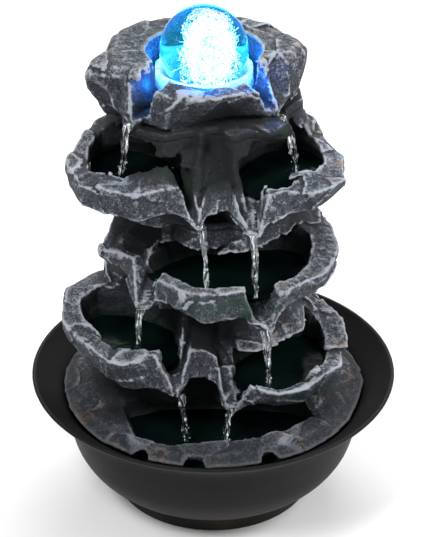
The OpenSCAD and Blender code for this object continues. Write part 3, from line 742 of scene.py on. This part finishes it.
def plume_material(name, strength, cover):
    """Dense white bubbles glowing with painted light of the lamp, breaking up into threads at their
    edges.
    """
    n = Nodes(name)
    shift = n.add("ShaderNodeVectorMath", operation="SUBTRACT")
    n.link(n.coords(), shift.inputs[0])
    shift.inputs[1].default_value = tuple(BALL * MM)
    fine = n.noise(420, 6, 0.8, where=shift.outputs[0], warp=2.0)
    solid = n.ramp(fine, 0.62 - cover, 0.72 - cover)
    glow = n.add("ShaderNodeEmission")
    n.put(glow.inputs["Color"], n.mix(n.ramp(fine, 0.4, 0.6), (0.72, 0.93, 1.0), (1.0, 1.0, 1.0)))
    glow.inputs["Strength"].default_value = strength
    gap = n.add("ShaderNodeBsdfTransparent")
    both = n.add("ShaderNodeMixShader")
    n.link(solid, both.inputs[0])
    n.link(gap.outputs[0], both.inputs[1])
    n.link(glow.outputs[0], both.inputs[2])
    n.link(both.outputs[0], n.out.inputs["Surface"])
    return n.mat


def thread_material():
    """Glowing threads of bubbles, brighter in places."""
    n = Nodes("bubble_threads")
    glow = n.add("ShaderNodeEmission")
    n.put(glow.inputs["Color"], n.mix(n.noise(300, 3, 0.6), (0.55, 0.9, 1.0), (1.0, 1.0, 1.0)))
    n.put(glow.inputs["Strength"], n.ramp(n.noise(150, 3, 0.6), 0.3, 0.7, 2.0, 7.0))
    n.link(glow.outputs[0], n.out.inputs["Surface"])
    return n.mat


GLASS_RADIUS, CLOUD_LIMIT, THREAD_LIMIT = 24.4, 22.3, 22.6  # mm from the ball's middle
PLUME_SHIFT = np.array([2.6, 3.0, -1.5])  # the bubbles stand to the right of the middle, mm
THREAD_SPREAD = [13.5, 13, 18]  # how far out the threads start, mm


def plume(name, size, seed, amount):
    """Lumpy upright cloud inside the ball."""
    obj = ball_mesh(name, 1.0, 40, 60)
    way = vertices(obj.data) / MM - BALL
    lump = value_noise(way * 3.1 + 40, 1.6, seed) + 0.5 * value_noise(way * 3.1 + 9, 0.7, seed + 1)
    at = way * size * (1 + amount * lump[:, None]) + PLUME_SHIFT
    far = np.linalg.norm(at, axis=1)
    at *= np.minimum(1, CLOUD_LIMIT / np.maximum(far, 1e-6))[:, None]
    obj.data.vertices.foreach_set("co", ((at + BALL) * MM).astype(np.float32).ravel())
    return obj


def threads(name, count, seed):
    """Fine curling threads of bubbles round the cloud."""
    local = np.random.default_rng(seed)
    verts, faces = [], []
    for _ in range(count):
        way = local.normal(size=3)
        way /= np.linalg.norm(way)
        at = way * local.uniform(0.75, 1.15) * THREAD_SPREAD + PLUME_SHIFT
        heading = np.cross(way, local.normal(size=3))
        heading /= np.linalg.norm(heading)
        bend = local.normal(size=3) * 0.35
        thick = local.uniform(0.06, 0.16)
        first, steps = len(verts), 12
        for i in range(steps):
            heading = heading + bend * 0.3 - 0.02 * at
            heading /= np.linalg.norm(heading)
            at = at + heading * 0.9
            far = np.linalg.norm(at)
            if far > THREAD_LIMIT:
                at = at * THREAD_LIMIT / far
            side = np.cross(heading, way)
            side /= np.linalg.norm(side)
            lift = np.cross(side, heading)
            for k in range(3):
                b = 2 * math.pi * k / 3
                verts.append(BALL + at + thick * (math.cos(b) * side + math.sin(b) * lift))
        for i in range(steps - 1):
            for k in range(3):
                a, b = first + i * 3 + k, first + i * 3 + (k + 1) % 3
                faces.append((a, b, b + 3, a + 3))
        faces.append((first + 2, first + 1, first))
        last = first + 3 * (steps - 1)
        faces.append((last, last + 1, last + 2))
    return make_mesh(name, verts, faces)


def glass_ball_material():
    """Teal glass, mottled a little in colour."""
    n = Nodes("crystal_glass")
    bubbles = n.noise(260, 4, 0.6)
    # The glass's teal glow is painted light of the lamp below.
    n.set(Base_Color=n.mix(n.ramp(bubbles, 0.4, 0.7), (0.07, 0.46, 0.56), (0.12, 0.56, 0.66)),
          Transmission_Weight=1.0, IOR=1.2, Roughness=0.0,
          Emission_Color=(0.0, 0.30, 0.36), Emission_Strength=0.26)
    return n.mat


def cup_material():
    """Clear cup with a painted blue glow of the lamp below, paler at its rim."""
    n = Nodes("lit_cup")
    swirl = n.noise(180, 4, 0.6)
    top = n.ramp(n.height(), 0.246, 0.2555)
    n.set(Base_Color=n.mix(swirl, (0.55, 0.8, 1.0), (0.8, 0.93, 1.0)), Transmission_Weight=0.8,
          IOR=1.4, Roughness=0.08, Emission_Color=n.mix(top, (0.01, 0.08, 1.0), (0.25, 0.62, 1.0)),
          Emission_Strength=n.maths("MULTIPLY", n.ramp(swirl, 0.25, 0.8, 0.3, 1.5), 1.3))
    n.bump(swirl, 0.4, 0.0004)
    return n.mat


def lamp(name, at, energy, colour, size):
    """A small light, placed in mm, that rides with the tower."""
    light = bpy.data.lights.new(name, "POINT")
    light.energy = energy
    light.color = colour
    light.shadow_soft_size = size
    obj = bpy.data.objects.new(name, light)
    obj.location = Vector(at) * MM
    bpy.context.scene.collection.objects.link(obj)
    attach(obj, "tower")


# ---------------------------------------------------------------- build
BOWL_OUTER = [  # radius and height of the outside, from the foot's step up to the rim
    (57.5, 9.3), (67, 14.5), (75, 22), (81, 32), (84.5, 45), (86.8, 57), (89, 61.5), (97, 68),
    (104, 73.6)]
BOWL_RIM = [(104.8, 74.6), (105, 75.2), (104.7, 75.9), (103.9, 76.2), (103.1, 76.0), (102.3, 75.2)]
BOWL_INNER = [(95.5, 69.9), (87.4, 63.2), (84.3, 57.8), (82, 45.6), (78.5, 33.2), (73.2, 24),
              (65.5, 17), (56, 12.5)]
BOWL_FOOT = [(0, 12.5), (0, 9.5), (53.9, 9.5), (54.2, 0.4), (54.7, 0), (57, 0), (57.5, 0.5),
             (56.9, 8.2), (57.0, 8.8)]


def curve(points, steps=6):
    """Smooth line through the points."""
    p = np.array([points[0], *points, points[-1]], float)
    line = []
    for i in range(1, len(p) - 2):
        for t in np.arange(steps) / steps:
            line.append(0.5 * (2 * p[i] + (p[i + 1] - p[i - 1]) * t
                               + (2 * p[i - 1] - 5 * p[i] + 4 * p[i + 1] - p[i + 2]) * t * t
                               + (3 * p[i] - p[i - 1] - 3 * p[i + 1] + p[i + 2]) * t ** 3))
    return line + [p[-1]]


def turned(name, profile, sides=160):
    """A body of revolution from a closed profile of radius and height."""
    a = np.arange(sides) * 2 * math.pi / sides
    verts = [(r * math.cos(b), r * math.sin(b), z) for r, z in profile for b in a]
    faces = []
    count = len(profile)
    for j in range(count):
        k = (j + 1) % count
        for i in range(sides):
            m = (i + 1) % sides
            faces.append((j * sides + i, j * sides + m, k * sides + m, k * sides + i))
    return make_mesh(name, verts, faces)


rock_paint = rock_material()
grid = rock_grid()
soft, broad, crowd = blur(grid, 0.8 / VOXEL), blur(grid, 3.6 / VOXEL), crowding(grid)
for node, (z0, z1) in ROCK.items():
    piece = cut_piece("rock_" + node, grid, z0 - 0.2, z1 + 0.2)
    paint(piece, grid, soft, broad, crowd)
    piece.data.materials.append(rock_paint)
    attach(piece, "tower")
    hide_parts(node)

profile = curve(BOWL_OUTER) + BOWL_RIM + curve(BOWL_INNER) + BOWL_FOOT
profile = [(max(r, 0.05), z) for r, z in profile]
bowl = turned("bowl_body", profile)
bowl.data.materials.append(bowl_material())
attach(bowl, "bowl")
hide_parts("bowl")

pool_water, stream_water = water_surface_material(), stream_material()
for i, (outline, level, _) in enumerate(WATER):
    piece = pool("pool_%d" % i, outline, level)
    piece.data.materials.append(pool_water)
    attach(piece, "tower")
for i, (name, lip, land, width) in enumerate(STREAMS):
    piece = strand("stream_" + name, lip, land, width, 20 + i)
    piece.data.materials.append(stream_water)
    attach(piece, "tower")

ball = ball_mesh("glass_ball", GLASS_RADIUS)
ball.data.materials.append(glass_ball_material())
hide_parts("crystal_ball")
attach(ball, "ball")
CLOUDS = [  # half sizes in mm, lumpiness, brightness and how much of it is solid
    ((10.0, 9.5, 15.5), 0.20, 12.0, 0.10),
    ((12.5, 12.0, 17.5), 0.26, 13.0, 0.07),
    ((15.0, 14.5, 19.5), 0.30, 9.0, 0.0),
]
for i, (size, amount, strength, cover) in enumerate(CLOUDS):
    cloud = plume("ball_cloud_%d" % i, size, 3 + i, amount)
    cloud.data.materials.append(plume_material("bubbles_%d" % i, strength, cover))
    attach(cloud, "ball")
strands = threads("ball_threads", 420, 5)
strands.data.materials.append(thread_material())
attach(strands, "ball")

PAINT = {
    "ball_cup": cup_material(),
    "led_lens": clear("lens_clear", (0.8, 0.92, 1.0), 0.02, 1.5, (0.15, 0.5, 1.0), 2.5),
    "led_gasket": plastic("seal_rubber", (0.02, 0.02, 0.02), 0.7),
    "led_housing": plastic("lamp_body", (0.02, 0.02, 0.023), 0.35),
    "led_board": plastic("circuit_board", (0.02, 0.12, 0.04), 0.3, 900, 0.00004, (0.03, 0.17, 0.06)),
    "led_chips": clear("led_dome", (0.9, 0.95, 1.0), 0.1, 1.5, (0.3, 0.6, 1.0), 8.0),
    "led_screws": metal("screw_steel", (0.62, 0.62, 0.64), 0.25),
    "led_lead": plastic("lead_jacket", (0.018, 0.018, 0.018), 0.5, 700),
    "led_plug": plastic("plug_body", (0.02, 0.02, 0.022), 0.4),
    "riser_tube": clear("vinyl_tube", (0.86, 0.93, 0.94), 0.12, 1.4),
    "pump_housing": plastic("pump_case", (0.014, 0.014, 0.016), 0.36),
    "pump_stator": metal("stator_plates", (0.42, 0.42, 0.45), 0.4, (1, 60, 1)),
    "pump_coil": metal("copper_wire", (0.62, 0.27, 0.10), 0.3, (1, 50, 1)),
    "pump_volute": plastic("pump_volute_case", (0.016, 0.016, 0.018), 0.36),
    "pump_front_cover": plastic("strainer_case", (0.018, 0.018, 0.020), 0.4),
    "pump_impeller": plastic("impeller_nylon", (0.55, 0.54, 0.50), 0.4, 800),
    "pump_magnet": plastic("ferrite", (0.05, 0.05, 0.055), 0.5, 1800),
    "pump_shaft": plastic("shaft_ceramic", (0.78, 0.77, 0.74), 0.15, 2000, 0.00002),
    "rear_bush": plastic("bush_rubber", (0.02, 0.02, 0.02), 0.6),
    "front_bush": plastic("bush_rubber_front", (0.02, 0.02, 0.02), 0.6),
    "flow_slider": plastic("slider_plastic", (0.03, 0.03, 0.034), 0.3),
    "suction_cups": plastic("cup_rubber", (0.03, 0.03, 0.032), 0.45),
    "cord_gland": plastic("gland_rubber", (0.02, 0.02, 0.02), 0.6),
    "rear_cover": rock_paint,
}
for node, material in PAINT.items():
    mesh = NODES[node].data
    mesh.materials.clear()
    mesh.materials.append(material)

# Blue light of the lamp on the crown, its spouts and the rock below.
GLOW = (0.0, 0.20, 1.0)
GLOW_COUNT, GLOW_RADIUS, GLOW_HEIGHT = 10, 28.6, 256
for i in range(GLOW_COUNT):
    a = math.radians(36 * i + 18)
    at = (BALL[0] + GLOW_RADIUS * math.cos(a), BALL[1] + GLOW_RADIUS * math.sin(a), GLOW_HEIGHT)
    lamp("glow_%d" % i, at, 0.022, GLOW, 0.002)
for name, at in (("glow_left", (-34, -1, GLOW_HEIGHT)), ("glow_right", (25, 0, GLOW_HEIGHT)),
                 ("glow_front", (-5, -8, 262))):
    lamp(name, at, 0.034, GLOW, 0.003)

# ---------------------------------------------------------------- stage
world = bpy.data.worlds.new("studio")
bpy.context.scene.world = world
world.use_nodes = True
world.node_tree.nodes["Background"].inputs["Color"].default_value = (1.0, 1.0, 1.0, 1)
world.node_tree.nodes["Background"].inputs["Strength"].default_value = 0.38

FLOOR_HALF, FLOOR_Z = 3000, -0.3  # mm
floor_corners = [(x * FLOOR_HALF, y * FLOOR_HALF, FLOOR_Z)
                 for x, y in ((-1, -1), (1, -1), (1, 1), (-1, 1))]
floor = make_mesh("floor", floor_corners, [(0, 1, 2, 3)], smooth=False)
floor_paint = Nodes("pale_floor")
floor_paint.set(Base_Color=floor_paint.mix(floor_paint.noise(3, 2, 0.5), (0.86, 0.86, 0.86),
                                           (0.90, 0.90, 0.90)), Roughness=0.9)
floor.data.materials.append(floor_paint.mat)


def area(name, at, aim, size, energy):
    """A studio light aimed at a point, in metres."""
    light = bpy.data.lights.new(name, "AREA")
    light.shape = "RECTANGLE"
    light.size, light.size_y = size
    light.energy = energy
    obj = bpy.data.objects.new(name, light)
    obj.location = at
    obj.rotation_euler = (Vector(aim) - Vector(at)).to_track_quat("-Z", "Y").to_euler()
    bpy.context.scene.collection.objects.link(obj)


area("key", (-0.6, -0.7, 1.25), (0, 0, 0.15), (0.45, 0.45), 17)
area("right", (0.95, -0.25, 0.85), (0, 0, 0.15), (0.4, 0.6), 12)
area("back", (0.1, 1.0, 1.0), (0, 0, 0.2), (0.9, 0.4), 12)

# ---------------------------------------------------------------- camera
DISTANCE, ELEVATION, AIM_HEIGHT = 1.2, math.radians(29.77), 0.145
LENS, SHIFT = 142.26, (0.0034, -0.011)
cam = bpy.data.cameras.new("camera")
cam.sensor_width = 36
cam.lens = LENS
cam.shift_x, cam.shift_y = SHIFT
eye = bpy.data.objects.new("camera", cam)
eye.location = (0, -DISTANCE * math.cos(ELEVATION), AIM_HEIGHT + DISTANCE * math.sin(ELEVATION))
eye.rotation_euler = (math.pi / 2 - ELEVATION, 0, 0)
bpy.context.scene.collection.objects.link(eye)
bpy.context.scene.camera = eye
bpy.context.scene.view_settings.view_transform = "Standard"
